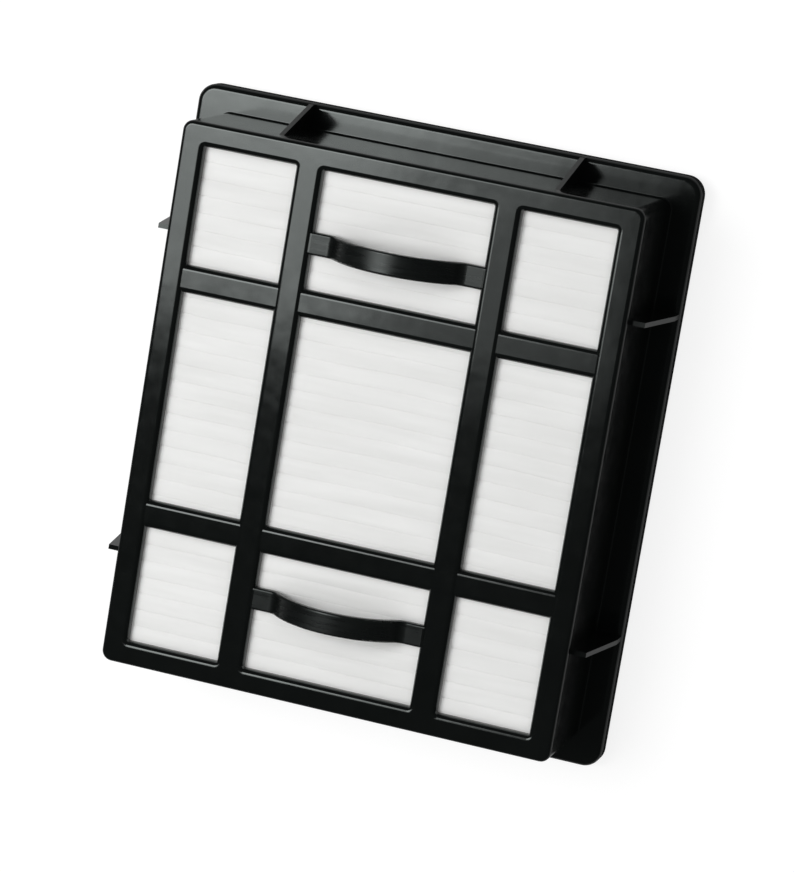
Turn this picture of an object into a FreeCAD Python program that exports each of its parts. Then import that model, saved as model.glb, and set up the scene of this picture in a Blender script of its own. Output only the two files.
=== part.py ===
import FreeCAD, Part
import math
import os
import re
import Sketcher

os.makedirs("parts", exist_ok=True)
doc = FreeCAD.newDocument("filter_cassette")

# Driving sizes in millimetres. The grille faces up, +Y is the long way, and the gasket lies on Z = 0.
SIZES = {
    # grille face and walls
    "front_corner": 2.3,
    "front_round": 0.95,
    "frame_depth": 29.9,
    "plate_thickness": 2.0,
    "wall_thickness": 1.8,
    # windows of the grille, three by three, between uprights and level bars that lie a step lower
    "border_side": 5.4,
    "border_end": 5.2,
    "bar_width": 6.05,
    "centre_width": 38.2,
    "centre_height": 46.4,
    "window_corner": 0.4,
    "bar_round": 1.2,
    "bar_step": 0.25,
    # flange round the open back, the overall size, and how far it stands out from the walls
    "flange_width": 114.8,
    "flange_height": 131.9,
    "flange_side": 6.0,
    "flange_end": 5.65,
    "flange_thickness": 4.2,
    "flange_corner": 4.1,
    "flange_round": 1.3,
    "root_round": 0.35,
    # webs between the walls and the flange: gussets on the ends, stepped fins on the sides
    "web_thickness": 1.05,
    "web_start": 3.7,
    "web_land": 4.0,
    "web_setback": 0.15,
    "gusset_offset": 30.8,
    "gusset_start": 5.0,
    "gusset_land": 2.0,
    "fin_offset": 36.0,
    "fin_step": 3.2,
    # bowed strap grips across the centre windows of the top and bottom rows
    "grip_offset": 39.3,
    "grip_width": 4.9,
    "grip_thickness": 1.7,
    "grip_round": 0.5,
    "grip_span": 31.2,
    "grip_rise": 7.7,
    "grip_bend": 2.2,
    # gasket in its groove on the back of the flange
    "gasket_width": 4.2,
    "gasket_inset": 1.5,
    "gasket_round": 0.6,
    "gasket_proud": 1.5,
    "groove_depth": 1.0,
    "groove_clearance": 0.1,
    # folded filter sheet and the cured sealant that holds it in the walls
    "pleat_pitch": 3.7,
    "pleat_depth": 24.0,
    "sheet_thickness": 0.45,
    "pleat_gap": 0.05,
    "crown_radius": 9.0,
    "shoulder_radius": 0.5,
    "foot_radius": 0.4,
    "pack_clearance": 0.2,
    "sealant_width": 1.6,
}

sheet = doc.addObject("Spreadsheet::Sheet", "sizes")
for row, (alias, millimetres) in enumerate(SIZES.items(), start=1):
    sheet.set(f"A{row}", alias)
    sheet.set(f"B{row}", str(millimetres))
    sheet.setAlias(f"B{row}", alias)
doc.recompute()

# Formulas that more than one piece is built from.
FRONT_WIDTH = "(flange_width - 2 * flange_side)"
FRONT_HEIGHT = "(flange_height - 2 * flange_end)"
CAVITY_WIDTH = f"({FRONT_WIDTH} - 2 * wall_thickness)"
CAVITY_HEIGHT = f"({FRONT_HEIGHT} - 2 * wall_thickness)"
CAVITY_CORNER = "(front_corner - wall_thickness)"
CAVITY_DEPTH = "(frame_depth - plate_thickness)"
PLEAT_COUNT = f"floor(({CAVITY_HEIGHT} - 2 * sealant_width) / pleat_pitch)"
PACK_WIDTH = f"({CAVITY_WIDTH} - 2 * sealant_width)"
PACK_HEIGHT = f"({PLEAT_COUNT} * pleat_pitch)"
PACK_TOP = f"(gasket_proud + {CAVITY_DEPTH} - pack_clearance)"
GASKET_WIDTH = "(flange_width - 2 * gasket_inset)"
GASKET_HEIGHT = "(flange_height - 2 * gasket_inset)"
GASKET_CORNER = "(flange_corner - gasket_inset)"


def bound(formula):
    """The formula with each size written as a cell of the sheet."""
    return re.sub(r"[a-z]+_[a-z_]+", lambda word: "sizes." + word.group(), formula)


def number(formula):
    """What the formula comes to at the sheet's present sizes."""
    return float(sheet.evalExpression(formula))


def set_size(target, name, formula):
    target.setExpression(name, bound(formula))


def new_body(name):
    body = doc.addObject("PartDesign::Body", name)
    body.Label = name
    return body


def origin_plane(body, role):
    return next(item for item in body.Origin.OriginFeatures if item.Role == role)


def new_sketch(body, name, role, offset=None):
    sketch = body.newObject("Sketcher::SketchObject", name)
    sketch.AttachmentSupport = (origin_plane(body, role), [""])
    sketch.MapMode = "FlatFace"
    if offset:
        set_size(sketch, "AttachmentOffset.Base.z", offset)
    return sketch


def dimension(sketch, kind, where, formula):
    index = sketch.addConstraint(Sketcher.Constraint(kind, *where, number(formula)))
    name = f"size_{index}"
    sketch.renameConstraint(index, name)
    set_size(sketch, "Constraints." + name, formula)


def place_point(sketch, geometry, end, x_formula, y_formula):
    dimension(sketch, "DistanceX", (-1, 1, geometry, end), x_formula)
    dimension(sketch, "DistanceY", (-1, 1, geometry, end), y_formula)


def point(x_formula, y_formula):
    return FreeCAD.Vector(number(x_formula), number(y_formula), 0)


def polygon(sketch, corners):
    """A closed outline of straight lines through corners given as pairs of formulas."""
    spots = [point(*corner) for corner in corners]
    lines = []
    for start, stop in zip(spots, spots[1:] + spots[:1]):
        lines.append(sketch.addGeometry(Part.LineSegment(start, stop)))
    for line, following in zip(lines, lines[1:] + lines[:1]):
        sketch.addConstraint(Sketcher.Constraint("Coincident", line, 2, following, 1))
    for line, corner in zip(lines, corners):
        place_point(sketch, line, 1, *corner)


def rounded_rectangle(sketch, left, right, bottom, top, radius):
    """A rectangle with round corners, its four sides and its radius given as formulas."""
    low = point(left, bottom)
    high = point(right, top)
    r = number(radius)
    centres = [
        (high.x - r, high.y - r),
        (low.x + r, high.y - r),
        (low.x + r, low.y + r),
        (high.x - r, low.y + r),
    ]
    arcs = []
    for quarter, (x, y) in enumerate(centres):
        circle = Part.Circle(FreeCAD.Vector(x, y, 0), FreeCAD.Vector(0, 0, 1), r)
        start = quarter * math.pi / 2
        arcs.append(sketch.addGeometry(Part.ArcOfCircle(circle, start, start + math.pi / 2)))
    sides = []
    for arc, following in zip(arcs, arcs[1:] + arcs[:1]):
        start = sketch.getPoint(arc, 2)
        stop = sketch.getPoint(following, 1)
        side = sketch.addGeometry(Part.LineSegment(start, stop))
        sketch.addConstraint(Sketcher.Constraint("Tangent", arc, 2, side, 1))
        sketch.addConstraint(Sketcher.Constraint("Tangent", side, 2, following, 1))
        sides.append(side)
    top_side, left_side, bottom_side, right_side = sides
    for side in (top_side, bottom_side):
        sketch.addConstraint(Sketcher.Constraint("Horizontal", side))
    for side in (left_side, right_side):
        sketch.addConstraint(Sketcher.Constraint("Vertical", side))
    for arc in arcs[1:]:
        sketch.addConstraint(Sketcher.Constraint("Equal", arcs[0], arc))
    dimension(sketch, "Radius", (arcs[0],), radius)
    dimension(sketch, "DistanceX", (-1, 1, left_side, 1), left)
    dimension(sketch, "DistanceX", (-1, 1, right_side, 1), right)
    dimension(sketch, "DistanceY", (-1, 1, bottom_side, 1), bottom)
    dimension(sketch, "DistanceY", (-1, 1, top_side, 1), top)


def centred_rectangle(sketch, width, height, radius):
    rounded_rectangle(sketch, f"-{width} / 2", f"{width} / 2", f"-{height} / 2", f"{height} / 2", radius)


def pad(body, name, sketch, length, midplane=False):
    feature = body.newObject("PartDesign::Pad", name)
    feature.Profile = sketch
    feature.Midplane = midplane
    set_size(feature, "Length", length)
    doc.recompute()
    return feature


def pocket_up(body, name, sketch, length):
    """A pocket that cuts along the sketch's normal, into the solid."""
    before = body.Shape.Volume
    feature = body.newObject("PartDesign::Pocket", name)
    feature.Profile = sketch
    feature.Reversed = True
    set_size(feature, "Length", length)
    doc.recompute()
    if body.Shape.Volume >= before:
        raise RuntimeError(name + " cut nothing")
    return feature


def fillet(body, name, radius, wanted):
    """A fillet on every edge of the body that the test picks."""
    base = body.Tip
    edges = [f"Edge{i}" for i, edge in enumerate(base.Shape.Edges, start=1) if wanted(edge)]
    feature = body.newObject("PartDesign::Fillet", name)
    feature.Base = (base, edges)
    set_size(feature, "Radius", radius)
    doc.recompute()
    return feature


def mirrored(body, name, features, role):
    feature = body.newObject("PartDesign::Mirrored", name)
    feature.Originals = features
    feature.MirrorPlane = (origin_plane(body, role), [""])
    body.Tip = feature
    doc.recompute()
    return feature


def lies_at(edge, height):
    """Whether the whole edge lies in the level plane at that height."""
    box = edge.BoundBox
    return abs(box.ZMin - height) < 1e-5 and abs(box.ZMax - height) < 1e-5


def reach(edge):
    """How far the edge's box reaches from the middle in X and in Y."""
    box = edge.BoundBox
    return max(-box.XMin, box.XMax), max(-box.YMin, box.YMax)


def within(edge, limits):
    across, along = reach(edge)
    return across < limits[0] and along < limits[1]


# Frame: one moulding of grille, walls, flange, webs and grips, built with the flange's back on Z = 0.
frame = new_body("frame")

flange_outline = new_sketch(frame, "flange_outline", "XY_Plane")
centred_rectangle(flange_outline, "flange_width", "flange_height", "flange_corner")
pad(frame, "flange", flange_outline, "flange_thickness")
wall_outline = new_sketch(frame, "wall_outline", "XY_Plane")
centred_rectangle(wall_outline, FRONT_WIDTH, FRONT_HEIGHT, "front_corner")
pad(frame, "block", wall_outline, "frame_depth")

face = number("frame_depth")
flange_front = number("flange_thickness")
edge_slack = 0.01


def half_sizes(width, height, margin="0"):
    """Half the width and height, with a margin and a little slack, to pick edges by."""
    return tuple(number(f"{size} / 2 + {margin}") + edge_slack for size in (width, height))


at_walls = half_sizes(FRONT_WIDTH, FRONT_HEIGHT)
at_root = half_sizes(FRONT_WIDTH, FRONT_HEIGHT, "root_round")
fillet(frame, "face_rounding", "front_round", lambda edge: lies_at(edge, face))
fillet(frame, "root_rounding", "root_round",
       lambda edge: lies_at(edge, flange_front) and within(edge, at_walls))
fillet(frame, "flange_rounding", "flange_round",
       lambda edge: lies_at(edge, flange_front) and not within(edge, at_root))

cavity_outline = new_sketch(frame, "cavity_outline", "XY_Plane")
centred_rectangle(cavity_outline, CAVITY_WIDTH, CAVITY_HEIGHT, CAVITY_CORNER)
pocket_up(frame, "cavity", cavity_outline, CAVITY_DEPTH)

groove_outline = new_sketch(frame, "groove_outline", "XY_Plane")
for inward in ("+ 2 * groove_clearance", "- 2 * gasket_width - 2 * groove_clearance"):
    centred_rectangle(
        groove_outline,
        f"({GASKET_WIDTH} {inward})",
        f"({GASKET_HEIGHT} {inward})",
        GASKET_CORNER,
    )
pocket_up(frame, "groove", groove_outline, "groove_depth")

columns = [
    (f"-({FRONT_WIDTH} / 2 - border_side)", "-(centre_width / 2 + bar_width)"),
    ("-centre_width / 2", "centre_width / 2"),
    ("(centre_width / 2 + bar_width)", f"({FRONT_WIDTH} / 2 - border_side)"),
]
SLOT_END = f"({FRONT_HEIGHT} / 2 - border_end)"
slot_outline = new_sketch(frame, "slot_outline", "XY_Plane")
for left, right in columns:
    rounded_rectangle(slot_outline, left, right, f"-{SLOT_END}", SLOT_END, "window_corner")
pocket_up(frame, "slots", slot_outline, "frame_depth")
at_slots = half_sizes(f"({FRONT_WIDTH} - 2 * border_side)", f"({FRONT_HEIGHT} - 2 * border_end)")
fillet(frame, "upright_rounding", "bar_round", lambda edge: lies_at(edge, face) and within(edge, at_slots))

# Level bars across the slots, rounded like the uprights, with their ends inside the side borders.
BAR_LEVEL = "(frame_depth - bar_step)"


def bar_section(sketch, low_side, high_side):
    """The section of one level bar: a flat back, two sides and a top with round corners."""
    back = number(CAVITY_DEPTH)
    level = number(BAR_LEVEL)
    r = number("bar_round")
    left = number(low_side)
    right = number(high_side)

    def line(*ends):
        start, stop = [FreeCAD.Vector(*end, 0) for end in ends]
        return sketch.addGeometry(Part.LineSegment(start, stop))

    def arc(y, start, stop):
        circle = Part.Circle(FreeCAD.Vector(y, level - r, 0), FreeCAD.Vector(0, 0, 1), r)
        return sketch.addGeometry(Part.ArcOfCircle(circle, start, stop))

    rear = line((left, back), (right, back))
    right_side = line((right, back), (right, level - r))
    right_round = arc(right - r, 0, math.pi / 2)
    top = line((right - r, level), (left + r, level))
    left_round = arc(left + r, math.pi / 2, math.pi)
    left_side = line((left, level - r), (left, back))
    outline = [rear, right_side, right_round, top, left_round, left_side]
    for piece, following in zip(outline, outline[1:] + outline[:1]):
        kind = "Coincident" if rear in (piece, following) else "Tangent"
        sketch.addConstraint(Sketcher.Constraint(kind, piece, 2, following, 1))
    sketch.addConstraint(Sketcher.Constraint("Horizontal", top))
    for side in (left_side, right_side):
        sketch.addConstraint(Sketcher.Constraint("Vertical", side))
    sketch.addConstraint(Sketcher.Constraint("Equal", right_round, left_round))
    dimension(sketch, "Radius", (right_round,), "bar_round")
    dimension(sketch, "DistanceY", (-1, 1, top, 1), BAR_LEVEL)
    place_point(sketch, rear, 1, low_side, CAVITY_DEPTH)
    place_point(sketch, rear, 2, high_side, CAVITY_DEPTH)


bar_outline = new_sketch(frame, "bar_outline", "YZ_Plane")
BAR_NEAR = "centre_height / 2"
BAR_FAR = "(centre_height / 2 + bar_width)"
bar_section(bar_outline, BAR_NEAR, BAR_FAR)
bar_section(bar_outline, f"-{BAR_FAR}", f"-{BAR_NEAR}")
pad(frame, "level_bars", bar_outline, f"({FRONT_WIDTH} - border_side)", midplane=True)

# Webs that stiffen the flange, rooted in the wall and in the flange above the groove.
WEB_ROOT = "(flange_thickness + groove_depth) / 2"
GUSSET_WALL = f"{FRONT_HEIGHT} / 2"
GUSSET_TOP = "(frame_depth - gusset_start)"
GUSSET_LAND = "(flange_thickness + gusset_land)"
FIN_WALL = f"{FRONT_WIDTH} / 2"
FIN_TOP = "(frame_depth - web_start)"
FIN_LAND = "(flange_thickness + web_land)"


def web_outline(sketch, sign, wall, step, edge, top, land):
    """One web from the wall out to the flange's edge, on the side that the sign gives."""
    inside = f"{sign}({wall} - wall_thickness / 2)"
    front = f"{sign}({wall} + {step})"
    outside = f"{sign}({edge} - web_setback)"
    polygon(sketch, [
        (inside, top),
        (front, top),
        (outside, land),
        (outside, WEB_ROOT),
        (inside, WEB_ROOT),
    ])


gusset_outline = new_sketch(frame, "gusset_outline", "YZ_Plane", "gusset_offset")
fin_outline = new_sketch(frame, "fin_outline", "XZ_Plane", "fin_offset")
for sign in ("", "-"):
    web_outline(gusset_outline, sign, GUSSET_WALL, "0", "flange_height / 2", GUSSET_TOP, GUSSET_LAND)
    web_outline(fin_outline, sign, FIN_WALL, "fin_step", "flange_width / 2", FIN_TOP, FIN_LAND)
gussets = pad(frame, "gussets", gusset_outline, "web_thickness", midplane=True)
mirrored(frame, "gusset_pairs", [gussets], "YZ_Plane")
fins = pad(frame, "fins", fin_outline, "web_thickness", midplane=True)
mirrored(frame, "fin_pairs", [fins], "XZ_Plane")

# Strap grips: a flat tab at each end, two bends and a bow, as one rounded strip along a middle line.
GRIP_END = "(centre_width / 2 + bar_width / 2)"
GRIP_LEVEL = f"({BAR_LEVEL} - grip_thickness / 2)"
GRIP_BEND = "(grip_bend + grip_thickness / 2)"
GRIP_REACH = "((grip_span * grip_span / 4 + grip_rise * grip_rise) / (2 * grip_rise))"
GRIP_BOW = f"({GRIP_REACH} - {GRIP_BEND})"


def grip_path(sketch):
    half = number("grip_span / 2")
    end = number(GRIP_END)
    level = number(GRIP_LEVEL)
    bend = number(GRIP_BEND)
    bow = number(GRIP_BOW)
    lean = math.atan2(bend + bow - number("grip_rise"), half)

    def arc(x, z, radius, start, stop):
        circle = Part.Circle(FreeCAD.Vector(x, z, 0), FreeCAD.Vector(0, 0, 1), radius)
        return sketch.addGeometry(Part.ArcOfCircle(circle, start, stop))

    def line(start, stop):
        ends = FreeCAD.Vector(start, level, 0), FreeCAD.Vector(stop, level, 0)
        return sketch.addGeometry(Part.LineSegment(*ends))

    left_tab = line(-end, -half)
    left_bend = arc(-half, level + bend, bend, -math.pi / 2, -lean)
    top_bow = arc(0, level + number("grip_rise") - bow, bow, lean, math.pi - lean)
    right_bend = arc(half, level + bend, bend, math.pi + lean, 1.5 * math.pi)
    right_tab = line(half, end)
    joints = [
        (left_tab, 2, left_bend, 1),
        (left_bend, 2, top_bow, 2),
        (top_bow, 1, right_bend, 1),
        (right_bend, 2, right_tab, 1),
    ]
    for joint in joints:
        sketch.addConstraint(Sketcher.Constraint("Tangent", *joint))
    for tab in (left_tab, right_tab):
        sketch.addConstraint(Sketcher.Constraint("Horizontal", tab))
    sketch.addConstraint(Sketcher.Constraint("Equal", left_bend, right_bend))
    sketch.addConstraint(Sketcher.Constraint("PointOnObject", top_bow, 3, -2))
    dimension(sketch, "Radius", (left_bend,), GRIP_BEND)
    dimension(sketch, "Radius", (top_bow,), GRIP_BOW)
    dimension(sketch, "DistanceX", (-1, 1, left_tab, 2), "-grip_span / 2")
    place_point(sketch, left_tab, 1, f"-{GRIP_END}", GRIP_LEVEL)
    place_point(sketch, right_tab, 2, GRIP_END, GRIP_LEVEL)


grip_line = new_sketch(frame, "grip_line", "XZ_Plane", "grip_offset")
grip_path(grip_line)
grip_section = new_sketch(frame, "grip_section", "YZ_Plane", f"-{GRIP_END}")
rounded_rectangle(
    grip_section,
    "-(grip_offset + grip_width / 2)",
    "-(grip_offset - grip_width / 2)",
    f"({BAR_LEVEL} - grip_thickness)",
    BAR_LEVEL,
    "grip_round",
)
doc.recompute()
grip = frame.newObject("PartDesign::AdditivePipe", "grip")
grip.Profile = grip_section
grip.Spine = (grip_line, [f"Edge{i + 1}" for i in range(len(grip_line.Shape.Edges))])
doc.recompute()
mirrored(frame, "grip_pair", [grip], "XZ_Plane")
set_size(frame, "Placement.Base.z", "gasket_proud")

# Pleat pack: one folded sheet. One fold with half a bend at each foot is repeated along Y.
pleat_pack = new_body("pleat_pack")
SHOULDER_OFFSET = "((pleat_pitch - pleat_gap) / 2 - shoulder_radius)"
FOOT_OUTER = "(foot_radius + sheet_thickness)"
FOOT_LEVEL = f"-(pleat_depth - {FOOT_OUTER})"


def fold_outline(sketch):
    """One fold of the sheet: a flattened crest, two walls and half a bend at each foot."""
    half_pitch = number("pleat_pitch / 2")
    thickness = number("sheet_thickness")
    crown = number("crown_radius")
    shoulder = number("shoulder_radius")
    foot = number("foot_radius")
    aside = number(SHOULDER_OFFSET)
    shoulder_level = math.sqrt((crown - shoulder) ** 2 - aside ** 2) - crown
    foot_level = number(FOOT_LEVEL)
    # angles from level: at the crown to where a shoulder starts, and square to the wall
    spread = math.acos(aside / (crown - shoulder))
    run = half_pitch - aside
    fall = shoulder_level - foot_level
    tilt = math.acos((shoulder + foot) / math.hypot(run, fall)) - math.atan2(fall, run)

    def arc(y, z, radius, start, stop):
        circle = Part.Circle(FreeCAD.Vector(y, z, 0), FreeCAD.Vector(0, 0, 1), radius)
        return sketch.addGeometry(Part.ArcOfCircle(circle, start, stop))

    def bend(y, z, front, back, start, stop):
        """The two faces of the sheet at a bend, on one centre."""
        pair = arc(y, z, front, start, stop), arc(y, z, back, start, stop)
        sketch.addConstraint(Sketcher.Constraint("Coincident", pair[0], 3, pair[1], 3))
        return pair

    def line(first, first_end, second, second_end):
        ends = sketch.getPoint(first, first_end), sketch.getPoint(second, second_end)
        return sketch.addGeometry(Part.LineSegment(*ends))

    def half_fold(sign, shoulders, feet, near, far):
        """Joins crown, shoulder, wall and foot on one side; near and far are the ends of the arcs."""
        for crown_arc, shoulder_arc, foot_arc in zip(crowns, shoulders, feet):
            sketch.addConstraint(Sketcher.Constraint("Tangent", crown_arc, near, shoulder_arc, far))
            wall = line(shoulder_arc, near, foot_arc, near)
            sketch.addConstraint(Sketcher.Constraint("Tangent", shoulder_arc, near, wall, 1))
            sketch.addConstraint(Sketcher.Constraint("Tangent", wall, 2, foot_arc, near))
        end = line(feet[0], far, feet[1], far)
        for index, foot_arc in enumerate(feet, start=1):
            sketch.addConstraint(Sketcher.Constraint("Coincident", foot_arc, far, end, index))
        sketch.addConstraint(Sketcher.Constraint("Vertical", end))
        sketch.addConstraint(Sketcher.Constraint("Vertical", feet[0], 3, feet[0], far))
        dimension(sketch, "DistanceX", (-1, 1, shoulders[0], 3), f"{sign}{SHOULDER_OFFSET}")
        dimension(sketch, "Radius", (shoulders[0],), "shoulder_radius")
        dimension(sketch, "Radius", (feet[0],), "foot_radius")
        dimension(sketch, "Radius", (feet[1],), FOOT_OUTER)
        place_point(sketch, feet[0], 3, f"{sign}pleat_pitch / 2", FOOT_LEVEL)

    crowns = bend(0, -crown, crown, crown - thickness, spread, math.pi - spread)
    inner = shoulder - thickness
    right_shoulders = bend(aside, shoulder_level, shoulder, inner, tilt, spread)
    left_shoulders = bend(-aside, shoulder_level, shoulder, inner, math.pi - spread, math.pi - tilt)
    right_feet = bend(half_pitch, foot_level, foot, foot + thickness, math.pi + tilt, 1.5 * math.pi)
    left_feet = bend(-half_pitch, foot_level, foot, foot + thickness, -math.pi / 2, -tilt)
    half_fold("", right_shoulders, right_feet, 1, 2)
    half_fold("-", left_shoulders, left_feet, 2, 1)
    sketch.addConstraint(Sketcher.Constraint("PointOnObject", crowns[0], 3, -2))
    dimension(sketch, "Radius", (crowns[0],), "crown_radius")
    dimension(sketch, "Radius", (crowns[1],), "(crown_radius - sheet_thickness)")
    dimension(sketch, "DistanceY", (-1, 1, crowns[0], 3), "-crown_radius")


fold = new_sketch(pleat_pack, "fold_outline", "YZ_Plane")
fold_outline(fold)
pleat = pad(pleat_pack, "pleat", fold, PACK_WIDTH, midplane=True)
pleats = pleat_pack.newObject("PartDesign::LinearPattern", "pleats")
pleats.Originals = [pleat]
pleats.Direction = (origin_plane(pleat_pack, "Y_Axis"), [""])
pleats.Mode = "Spacing"
set_size(pleats, "Offset", "pleat_pitch")
set_size(pleats, "Occurrences", PLEAT_COUNT)
pleat_pack.Tip = pleats
set_size(pleat_pack, "Placement.Base.y", f"-({PLEAT_COUNT} - 1) * pleat_pitch / 2")
set_size(pleat_pack, "Placement.Base.z", PACK_TOP)

# Sealant: the cured bead between the pack and the walls, all round and as deep as the pleats.
sealant = new_body("sealant")
bead_outline = new_sketch(sealant, "bead_outline", "XY_Plane")
centred_rectangle(bead_outline, CAVITY_WIDTH, CAVITY_HEIGHT, CAVITY_CORNER)
polygon(bead_outline, [
    (f"-{PACK_WIDTH} / 2", f"-{PACK_HEIGHT} / 2"),
    (f"{PACK_WIDTH} / 2", f"-{PACK_HEIGHT} / 2"),
    (f"{PACK_WIDTH} / 2", f"{PACK_HEIGHT} / 2"),
    (f"-{PACK_WIDTH} / 2", f"{PACK_HEIGHT} / 2"),
])
pad(sealant, "bead", bead_outline, "pleat_depth")
set_size(sealant, "Placement.Base.z", f"{PACK_TOP} - pleat_depth")

# Gasket: a soft ring in the flange's groove that stands proud of the back.
gasket = new_body("gasket")
ring_outline = new_sketch(gasket, "ring_outline", "XY_Plane")
for inward in ("", "- 2 * gasket_width"):
    centred_rectangle(
        ring_outline,
        f"({GASKET_WIDTH} {inward})",
        f"({GASKET_HEIGHT} {inward})",
        GASKET_CORNER,
    )
pad(gasket, "ring", ring_outline, "gasket_proud + groove_depth")
fillet(gasket, "ring_rounding", "gasket_round", lambda edge: lies_at(edge, 0))
doc.recompute()

# Every object has to be sound before anything is written.
failed = [item.Name for item in doc.Objects if "Invalid" in item.State or "Error" in item.State]
if failed:
    raise RuntimeError("failed objects: " + ", ".join(failed))
for node in (frame, pleat_pack, sealant, gasket):
    shape = node.Shape
    if shape.isNull() or not shape.isValid() or len(shape.Solids) != 1:
        raise RuntimeError(node.Label + " is not one sound solid")
    shape.exportStep(f"parts/{node.Label}.step")
    print(node.Label, round(shape.Volume, 1), shape.BoundBox)
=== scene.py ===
"""Looks of the filter cassette: materials, the folded media, studio light and the photograph's camera."""

import math

import bmesh
import bpy
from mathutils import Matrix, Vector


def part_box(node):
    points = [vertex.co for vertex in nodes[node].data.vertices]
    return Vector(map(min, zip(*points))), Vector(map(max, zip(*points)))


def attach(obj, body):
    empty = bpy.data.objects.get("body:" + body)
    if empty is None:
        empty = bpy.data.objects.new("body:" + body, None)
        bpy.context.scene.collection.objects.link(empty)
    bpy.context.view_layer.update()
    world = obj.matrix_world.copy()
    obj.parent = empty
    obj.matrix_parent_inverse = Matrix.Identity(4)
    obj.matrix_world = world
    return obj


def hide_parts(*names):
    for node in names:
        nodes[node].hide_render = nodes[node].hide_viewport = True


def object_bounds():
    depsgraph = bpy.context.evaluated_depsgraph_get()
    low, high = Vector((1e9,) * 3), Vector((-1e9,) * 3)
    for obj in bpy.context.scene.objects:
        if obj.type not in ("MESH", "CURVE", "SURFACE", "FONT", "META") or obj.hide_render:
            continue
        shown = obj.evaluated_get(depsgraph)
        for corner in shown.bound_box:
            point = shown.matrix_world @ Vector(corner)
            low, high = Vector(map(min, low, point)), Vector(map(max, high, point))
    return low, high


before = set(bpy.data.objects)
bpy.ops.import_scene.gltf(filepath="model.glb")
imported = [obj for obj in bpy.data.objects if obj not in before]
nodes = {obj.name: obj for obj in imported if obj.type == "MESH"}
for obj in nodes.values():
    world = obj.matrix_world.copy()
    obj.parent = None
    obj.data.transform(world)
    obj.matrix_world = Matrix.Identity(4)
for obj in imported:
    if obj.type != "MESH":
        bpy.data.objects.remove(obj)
cad_low, cad_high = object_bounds()

MM = 0.001
BODY = "root"

pack_low, pack_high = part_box("pleat_pack")

# Range of a noise texture that is spread over a finish. All scales of textures are in cycles per metre.
NOISE_LOW = 0.3
NOISE_HIGH = 0.7

# Moulded plastic: glossy black, with rougher and streaked grips.
PLASTIC_DARK = (0.0022, 0.0027, 0.0026)
PLASTIC_PALE = (0.0045, 0.0054, 0.0051)
PLASTIC_SPECULAR = 0.5
PLASTIC_TINT = (0.93, 1.0, 0.975, 1.0)
MOTTLE_SCALE = 90.0
GLOSS_LOW = 0.09
GLOSS_HIGH = 0.14
GLOSS_SCALE = 260.0
SWELL_SCALE = 110.0
SWELL_HEIGHT = 0.25 * MM
SWELL_STRENGTH = 0.15
GRIP_OFFSET = 39.3 * MM
GRIP_HALF_WIDTH = 2.55 * MM
GRIP_HALF_LENGTH = 19.2 * MM
GRIP_MATT_LOW = 0.12
GRIP_MATT_HIGH = 0.24
STREAK_SCALE = 1200.0
STREAK_STRETCH = (0.06, 1.0, 0.2)

# Filter media: white fibre with ripples along the folds, and soft bands along them in its colour that are
# painted shade.
MEDIA_PAINTED_SHADE = (0.83, 0.83, 0.815)
MEDIA_WHITE = (0.985, 0.985, 0.975)
MEDIA_ROUGHNESS = 0.9
MEDIA_SPECULAR = 0.15
SHADE_BAND_SCALE = 300.0
SHADE_BAND_STRETCH = (0.13, 1.0, 1.0)
RIPPLE_SCALE = 260.0
RIPPLE_STRETCH = (0.15, 1.0, 1.0)
RIPPLE_HEIGHT = 0.4 * MM
RIPPLE_STRENGTH = 1.0
FIBRE_SCALE = 1800.0
FIBRE_STRETCH = (0.35, 1.0, 1.0)
FIBRE_HEIGHT = 0.05 * MM
FIBRE_STRENGTH = 0.3

# Sealant: milky hot-melt.
SEALANT_SHADE = (0.62, 0.59, 0.50)
SEALANT_PALE = (0.74, 0.71, 0.62)
SEALANT_ROUGHNESS = 0.42
CLOUD_SCALE = 120.0
WAVE_SCALE = 300.0
WAVE_HEIGHT = 0.2 * MM
WAVE_STRENGTH = 0.3

# Gasket: black foam with pores, whose hollows are darker in colour as painted shade.
FOAM_PORE_SHADE = (0.006, 0.006, 0.006)
FOAM_PALE = (0.022, 0.022, 0.023)
FOAM_ROUGHNESS = 0.85
PORE_SCALE = 2600.0
PORE_DEPTH = 0.15 * MM
PORE_STRENGTH = 0.6

# Folded sheet. It has the fold of its solid, but its crests are pressed together and sway.
PLEAT_PITCH = 3.7 * MM
CREST_PRESS = 0.5 * MM
CREST_GAP = 0.02 * MM
SHEET_THICKNESS = 0.45 * MM
CROWN_RADIUS = 9.0 * MM
SHOULDER_RADIUS = 0.5 * MM
FOOT_RADIUS = 0.4 * MM
ARC_STEPS = 3
SHEET_STEPS = 48

# Sway of the sheet. Each wave has its share, its radians per metre in X and in Y, and its phase.
SWAY_ASIDE = 0.24 * MM
SWAY_DOWN = 0.06 * MM
ASIDE_WAVES = ((0.6, 95.0, 31.0, 0.0), (0.4, 210.0, -47.0, 1.3))
DOWN_WAVES = ((0.3, 160.0, 820.0, 0.0), (0.2, 75.0, -1290.0, 2.0))
DOWN_MEAN = 0.5

# Camera, as fitted to edges in the photograph.
CAMERA_PLACE = (0.21457, 0.16051, 0.84191)
CAMERA_TURN_DEG = (-8.142, 15.950, 9.727)
CAMERA_LENS = 165.04
CAMERA_SENSOR = 36.0

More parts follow.
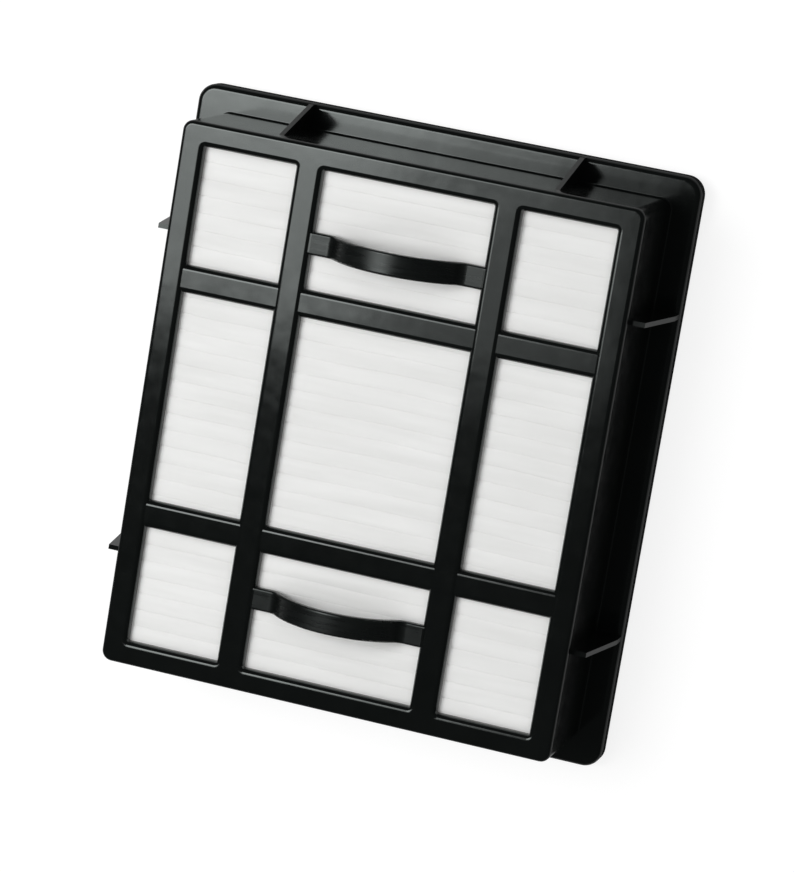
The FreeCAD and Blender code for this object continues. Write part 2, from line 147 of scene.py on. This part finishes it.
# Studio light: level panels that face down, and one under the floor that faces up.
# Each has two opposite corners in X and Y, a height and a radiance.
KEY_CORNERS = ((-0.72, -0.105), (-0.095, 0.36))
KEY_HEIGHT = 0.74
KEY_RADIANCE = 1.1
CORE_CORNERS = ((-0.52, -0.10), (-0.19, 0.30))
CORE_HEIGHT = 0.73
CORE_RADIANCE = 2.8
FAR_CORNERS = ((-0.52, -0.018), (-0.13, 0.30))
FAR_HEIGHT = 0.72
FAR_RADIANCE = 3.2
FILL_CORNERS = ((-1.5, -1.46), (1.3, 1.34))
FILL_HEIGHT = 1.2
FILL_RADIANCE = 0.65
UNDER_CORNERS = ((-1.0, -1.0), (1.0, 1.0))
UNDER_HEIGHT = -0.8
UNDER_RADIANCE = 1.8
WORLD_COLOUR = (0.05, 0.052, 0.052, 1.0)
WHITE = (1.0, 1.0, 1.0, 1.0)

# Floor: white to the camera. In gloss it is painted dark beside the object, a painted shadow, and lighter
# away from it.
FLOOR_HALF = 2.5
FLOOR_PAINTED_SHADOW = (0.03, 0.03, 0.03, 1.0)
FLOOR_IN_GLOSS = 0.3
FLOOR_DARK_TO = 0.6 * MM
FLOOR_LIGHT_FROM = 3 * MM
FLOOR_SHADOW_SHARE = (0.3, 0.3, 0.3, 1.0)
FLOOR_GLOW = 0.8
FLOOR_FULL_GLOW = 1.0
FLOOR_FADE_FROM = 200 * MM
FLOOR_FADE_TO = 1000 * MM


class Graph:
    """A material's node tree with short calls to add and link nodes."""

    def __init__(self, name):
        self.material = bpy.data.materials.new(name)
        self.material.use_nodes = True
        self.tree = self.material.node_tree
        self.tree.nodes.clear()
        self.output = self.node("ShaderNodeOutputMaterial")

    def node(self, kind, **settings):
        made = self.tree.nodes.new(kind)
        for name, value in settings.items():
            setattr(made, name, value)
        return made

    def link(self, source, target):
        self.tree.links.new(source, target)

    def noise(self, place, scale, detail=3.0, stretch=None):
        """Noise over object coordinates, with its scale in cycles per metre."""
        if stretch:
            mapping = self.node("ShaderNodeMapping")
            mapping.inputs["Scale"].default_value = stretch
            self.link(place, mapping.inputs["Vector"])
            place = mapping.outputs["Vector"]
        texture = self.node("ShaderNodeTexNoise")
        texture.inputs["Scale"].default_value = scale
        texture.inputs["Detail"].default_value = detail
        self.link(place, texture.inputs["Vector"])
        return texture.outputs["Fac"]

    def remap(self, value, from_low, from_high, to_low, to_high):
        node = self.node("ShaderNodeMapRange")
        node.inputs["From Min"].default_value = from_low
        node.inputs["From Max"].default_value = from_high
        node.inputs["To Min"].default_value = to_low
        node.inputs["To Max"].default_value = to_high
        self.link(value, node.inputs["Value"])
        return node.outputs["Result"]

    def maths(self, operation, first, second=0.0):
        node = self.node("ShaderNodeMath", operation=operation)
        for socket, value in zip(node.inputs, (first, second)):
            if isinstance(value, (int, float)):
                socket.default_value = value
            else:
                self.link(value, socket)
        return node.outputs["Value"]

    def ramp(self, value, low_colour, high_colour):
        node = self.node("ShaderNodeValToRGB")
        node.color_ramp.elements[0].color = (*low_colour, 1.0)
        node.color_ramp.elements[1].color = (*high_colour, 1.0)
        self.link(value, node.inputs["Fac"])
        return node.outputs["Color"]

    def bump(self, height, distance, strength, under=None):
        """Normals of a relief, on top of those of another relief where that is given."""
        node = self.node("ShaderNodeBump")
        node.inputs["Distance"].default_value = distance
        node.inputs["Strength"].default_value = strength
        self.link(height, node.inputs["Height"])
        if under:
            self.link(under, node.inputs["Normal"])
        return node.outputs["Normal"]

    def mix(self, share, first, second):
        node = self.node("ShaderNodeMixShader")
        self.link(share, node.inputs["Fac"])
        self.link(first, node.inputs[1])
        self.link(second, node.inputs[2])
        return node.outputs["Shader"]

    def diffuse(self, colour):
        node = self.node("ShaderNodeBsdfDiffuse")
        node.inputs["Color"].default_value = colour
        return node.outputs["BSDF"]

    def place(self):
        return self.node("ShaderNodeTexCoord").outputs["Object"]

    def split(self, place):
        """The X and the Y of a place."""
        node = self.node("ShaderNodeSeparateXYZ")
        self.link(place, node.inputs["Vector"])
        return node.outputs["X"], node.outputs["Y"]

    def principled(self):
        shader = self.node("ShaderNodeBsdfPrincipled")
        self.link(shader.outputs["BSDF"], self.output.inputs["Surface"])
        return shader


def on_grips(g, place):
    """One on the strap grips between the uprights, and nought elsewhere."""
    x, y = g.split(place)
    aside = g.maths("SUBTRACT", g.maths("ABSOLUTE", y), GRIP_OFFSET)
    in_width = g.maths("LESS_THAN", g.maths("ABSOLUTE", aside), GRIP_HALF_WIDTH)
    in_length = g.maths("LESS_THAN", g.maths("ABSOLUTE", x), GRIP_HALF_LENGTH)
    return g.maths("MULTIPLY", in_width, in_length)


def moulded_black():
    """Glossy black moulding with faint mottling and slow swells, and streaked grips."""
    g = Graph("moulded_black")
    place = g.place()
    shader = g.principled()
    mottle = g.noise(place, MOTTLE_SCALE)
    g.link(g.ramp(mottle, PLASTIC_DARK, PLASTIC_PALE), shader.inputs["Base Color"])
    shader.inputs["Specular IOR Level"].default_value = PLASTIC_SPECULAR
    shader.inputs["Specular Tint"].default_value = PLASTIC_TINT
    patches = g.noise(place, GLOSS_SCALE, detail=4.0)
    gloss = g.remap(patches, NOISE_LOW, NOISE_HIGH, GLOSS_LOW, GLOSS_HIGH)
    streaks = g.noise(place, STREAK_SCALE, stretch=STREAK_STRETCH)
    worn = g.remap(streaks, NOISE_LOW, NOISE_HIGH, GRIP_MATT_LOW, GRIP_MATT_HIGH)
    grips = g.maths("MULTIPLY", worn, on_grips(g, place))
    g.link(g.maths("ADD", gloss, grips), shader.inputs["Roughness"])
    swell = g.noise(place, SWELL_SCALE, detail=2.5)
    g.link(g.bump(swell, SWELL_HEIGHT, SWELL_STRENGTH), shader.inputs["Normal"])
    return g.material


def filter_media():
    """White fibre sheet with soft painted shade bands and ripples along the folds, and fine fibres."""
    g = Graph("filter_media")
    place = g.place()
    shader = g.principled()
    # The colour's soft bands along the folds are painted shade: darker and lighter stripes in the white.
    bands = g.noise(place, SHADE_BAND_SCALE, detail=2.0, stretch=SHADE_BAND_STRETCH)
    g.link(g.ramp(bands, MEDIA_PAINTED_SHADE, MEDIA_WHITE), shader.inputs["Base Color"])
    shader.inputs["Roughness"].default_value = MEDIA_ROUGHNESS
    shader.inputs["Specular IOR Level"].default_value = MEDIA_SPECULAR
    ripples = g.noise(place, RIPPLE_SCALE, detail=1.0, stretch=RIPPLE_STRETCH)
    rippled = g.bump(ripples, RIPPLE_HEIGHT, RIPPLE_STRENGTH)
    fibres = g.noise(place, FIBRE_SCALE, detail=4.0, stretch=FIBRE_STRETCH)
    g.link(g.bump(fibres, FIBRE_HEIGHT, FIBRE_STRENGTH, under=rippled), shader.inputs["Normal"])
    return g.material


def potting():
    """Cured hot-melt: milky and a little glossy, with slow waves."""
    g = Graph("potting")
    place = g.place()
    shader = g.principled()
    clouds = g.noise(place, CLOUD_SCALE)
    g.link(g.ramp(clouds, SEALANT_SHADE, SEALANT_PALE), shader.inputs["Base Color"])
    shader.inputs["Roughness"].default_value = SEALANT_ROUGHNESS
    waves = g.noise(place, WAVE_SCALE)
    g.link(g.bump(waves, WAVE_HEIGHT, WAVE_STRENGTH), shader.inputs["Normal"])
    return g.material


def seal_foam():
    """Black cellular foam: small pores in the bump with painted shade in their hollows, matt."""
    g = Graph("seal_foam")
    place = g.place()
    shader = g.principled()
    pores = g.node("ShaderNodeTexVoronoi")
    pores.inputs["Scale"].default_value = PORE_SCALE
    g.link(place, pores.inputs["Vector"])
    distance = pores.outputs["Distance"]
    # The colour darkens where the bump sinks: painted shade in the pores.
    g.link(g.ramp(distance, FOAM_PORE_SHADE, FOAM_PALE), shader.inputs["Base Color"])
    shader.inputs["Roughness"].default_value = FOAM_ROUGHNESS
    g.link(g.bump(distance, PORE_DEPTH, PORE_STRENGTH), shader.inputs["Normal"])
    return g.material


def distance_from_object(g):
    """How far a point of the floor lies outside the object's footprint."""
    x, y = g.split(g.place())
    beside = g.maths("SUBTRACT", g.maths("ABSOLUTE", x), cad_high.x)
    beyond = g.maths("SUBTRACT", g.maths("ABSOLUTE", y), cad_high.y)
    return g.maths("MAXIMUM", beside, beyond)


def shown_floor(g, away):
    """A white glow with the object's shadow on it, which fades to plain white far away."""
    glow = g.node("ShaderNodeEmission")
    strength = g.remap(away, FLOOR_FADE_FROM, FLOOR_FADE_TO, FLOOR_GLOW, FLOOR_FULL_GLOW)
    g.link(strength, glow.inputs["Strength"])
    shown = g.node("ShaderNodeAddShader")
    g.link(g.diffuse(FLOOR_SHADOW_SHARE), shown.inputs[0])
    g.link(glow.outputs["Emission"], shown.inputs[1])
    return shown.outputs["Shader"]


def floor_material():
    """White to the camera, with a painted shadow beside the object in gloss, and clear from below and to
    lamps.
    """
    g = Graph("white_floor")
    away = distance_from_object(g)
    shown = shown_floor(g, away)
    # A dark floor for all rays but the camera's: beside the object it is a painted shadow in gloss.
    painted = g.diffuse(FLOOR_PAINTED_SHADOW)
    path = g.node("ShaderNodeLightPath")
    share = g.remap(away, FLOOR_DARK_TO, FLOOR_LIGHT_FROM, 0.0, FLOOR_IN_GLOSS)
    in_gloss = g.maths("MULTIPLY", path.outputs["Is Glossy Ray"], share)
    direct = g.maths("MAXIMUM", path.outputs["Is Camera Ray"], path.outputs["Is Transmission Ray"])
    above = g.mix(g.maths("MAXIMUM", direct, in_gloss), painted, shown)
    clear = g.node("ShaderNodeBsdfTransparent").outputs["BSDF"]
    behind = g.node("ShaderNodeNewGeometry").outputs["Backfacing"]
    passed = g.maths("MAXIMUM", behind, path.outputs["Is Shadow Ray"])
    g.link(g.mix(passed, above, clear), g.output.inputs["Surface"])
    return g.material


def paint(piece, material):
    piece.data.materials.clear()
    piece.data.materials.append(material)


def new_mesh(name, build):
    """An object whose mesh is filled by build, linked to the scene."""
    mesh = bpy.data.meshes.new(name)
    shape = bmesh.new()
    build(shape)
    shape.to_mesh(mesh)
    shape.free()
    piece = bpy.data.objects.new(name, mesh)
    bpy.context.scene.collection.objects.link(piece)
    return piece


def arc_points(centre, radius, start, stop):
    """Points on an arc in the Y-Z plane, both ends included."""
    points = []
    for step in range(ARC_STEPS + 1):
        angle = start + (stop - start) * step / ARC_STEPS
        points.append((centre[0] + radius * math.cos(angle), centre[1] + radius * math.sin(angle)))
    return points


def half_fold(inset):
    """Half a fold from the middle of its crest to the middle of its foot, inset from the sheet's front.

    The crest is wider than its share of the pack, and ends where it meets its neighbour.
    """
    half_pitch = PLEAT_PITCH / 2
    aside = half_pitch + CREST_PRESS / 2 - SHOULDER_RADIUS
    reach = CROWN_RADIUS - SHOULDER_RADIUS
    shoulder_level = math.sqrt(reach ** 2 - aside ** 2) - CROWN_RADIUS
    foot_level = FOOT_RADIUS + SHEET_THICKNESS - (pack_high.z - pack_low.z)
    spread = math.acos(aside / reach)
    meeting = math.acos((half_pitch - CREST_GAP / 2 - aside) / SHOULDER_RADIUS)
    crown = arc_points((0, -CROWN_RADIUS), CROWN_RADIUS - inset, math.pi / 2, spread)
    shoulder = arc_points((aside, shoulder_level), SHOULDER_RADIUS - inset, spread, meeting)
    foot = arc_points((half_pitch, foot_level), FOOT_RADIUS + inset, math.pi, 1.5 * math.pi)
    return crown + shoulder[1:] + foot


def sheet_section(inset):
    """One face of the whole folded sheet as points across the pack."""
    half = half_fold(inset)
    fold = [(-y, z) for y, z in reversed(half[1:])] + half
    count = round((pack_high.y - pack_low.y) / PLEAT_PITCH)
    middle = (pack_low.y + pack_high.y) / 2
    section = []
    for number in range(count):
        shift = middle + (number - (count - 1) / 2) * PLEAT_PITCH
        points = fold if number == 0 else fold[1:]
        section += [(y + shift, pack_high.z + z) for y, z in points]
    return section


def waves_at(waves, x, y, mean=0.0):
    """A mean and the waves about it, at one place of the pack."""
    return sum((share * math.sin(in_x * x + in_y * y + phase) for share, in_x, in_y, phase in waves), mean)


def swayed(x, y, z):
    """A point of the sheet after its sway, which fades to the feet and, sideways, to the end folds."""
    rise = (z - pack_low.z) / (pack_high.z - pack_low.z)
    along = (2 * y - pack_low.y - pack_high.y) / (pack_high.y - pack_low.y)
    aside = SWAY_ASIDE * (1 - along ** 2) * rise * waves_at(ASIDE_WAVES, x, y)
    down = SWAY_DOWN * rise * waves_at(DOWN_WAVES, x, y, DOWN_MEAN)
    return x, y + aside, z - down


def sheet_rings(shape, loop):
    """The sheet's closed section as a ring of points at each step across the pack."""
    rings = []
    for step in range(SHEET_STEPS + 1):
        x = pack_low.x + (pack_high.x - pack_low.x) * step / SHEET_STEPS
        rings.append([shape.verts.new(swayed(x, y, z)) for y, z in loop])
    return rings


def join_rings(shape, ring, following):
    """A strip of smooth faces between two rings."""
    size = len(ring)
    for spot in range(size):
        after = (spot + 1) % size
        face = shape.faces.new((ring[spot], ring[after], following[after], following[spot]))
        face.smooth = True


def close_end(shape, ring):
    """Flat faces between the front half of a ring and its back half."""
    size = len(ring)
    for spot in range(size // 2 - 1):
        shape.faces.new((ring[spot], ring[spot + 1], ring[size - 2 - spot], ring[size - 1 - spot]))


def make_media():
    """The folded sheet as a closed mesh: its front, its back and its edges."""
    loop = sheet_section(0.0) + sheet_section(SHEET_THICKNESS)[::-1]

    def build(shape):
        rings = sheet_rings(shape, loop)
        for ring, following in zip(rings, rings[1:]):
            join_rings(shape, ring, following)
        for ring in (rings[0], rings[-1]):
            close_end(shape, ring)
        bmesh.ops.recalc_face_normals(shape, faces=shape.faces)

    media = new_mesh("folded_media", build)
    paint(media, filter_media())
    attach(media, BODY)
    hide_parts("pleat_pack")


def make_floor():
    def build(shape):
        bmesh.ops.create_grid(shape, x_segments=1, y_segments=1, size=FLOOR_HALF)

    floor = new_mesh("floor", build)
    floor.data.materials.append(floor_material())


def make_panel(name, corners, height, radiance, mirrored=True, upward=False):
    """A level lamp that faces down, or upward; its power follows from its radiance and its area."""
    (left, near), (right, far) = corners
    lamp = bpy.data.lights.new(name, "AREA")
    lamp.shape = "RECTANGLE"
    lamp.size = right - left
    lamp.size_y = far - near
    lamp.energy = radiance * math.pi * lamp.size * lamp.size_y
    holder = bpy.data.objects.new(name, lamp)
    holder.location = ((left + right) / 2, (near + far) / 2, height)
    holder.rotation_euler.x = math.pi if upward else 0.0
    holder.visible_camera = False
    holder.visible_glossy = mirrored
    bpy.context.scene.collection.objects.link(holder)


def make_lights():
    make_panel("key_panel", KEY_CORNERS, KEY_HEIGHT, KEY_RADIANCE)
    make_panel("key_core", CORE_CORNERS, CORE_HEIGHT, CORE_RADIANCE)
    make_panel("key_far", FAR_CORNERS, FAR_HEIGHT, FAR_RADIANCE)
    make_panel("fill_panel", FILL_CORNERS, FILL_HEIGHT, FILL_RADIANCE, mirrored=False)
    make_panel("under_panel", UNDER_CORNERS, UNDER_HEIGHT, UNDER_RADIANCE, upward=True)


def make_world():
    """A dim world that the camera sees as white."""
    world = bpy.data.worlds.new("studio")
    world.use_nodes = True
    world_nodes = world.node_tree.nodes
    links = world.node_tree.links
    dim = world_nodes["Background"]
    dim.inputs["Color"].default_value = WORLD_COLOUR
    backdrop = world_nodes.new("ShaderNodeBackground")
    backdrop.inputs["Color"].default_value = WHITE
    path = world_nodes.new("ShaderNodeLightPath")
    pick = world_nodes.new("ShaderNodeMixShader")
    links.new(path.outputs["Is Camera Ray"], pick.inputs["Fac"])
    links.new(dim.outputs["Background"], pick.inputs[1])
    links.new(backdrop.outputs["Background"], pick.inputs[2])
    links.new(pick.outputs["Shader"], world_nodes["World Output"].inputs["Surface"])
    bpy.context.scene.world = world


def make_camera():
    data = bpy.data.cameras.new("camera")
    data.lens = CAMERA_LENS
    data.sensor_width = CAMERA_SENSOR
    camera = bpy.data.objects.new("camera", data)
    camera.location = CAMERA_PLACE
    camera.rotation_euler = [math.radians(angle) for angle in CAMERA_TURN_DEG]
    bpy.context.scene.collection.objects.link(camera)
    bpy.context.scene.camera = camera


paint(nodes["frame"], moulded_black())
make_media()
paint(nodes["sealant"], potting())
paint(nodes["gasket"], seal_foam())
make_floor()
make_lights()
make_world()
make_camera()
bpy.context.scene.view_settings.view_transform = "Standard"
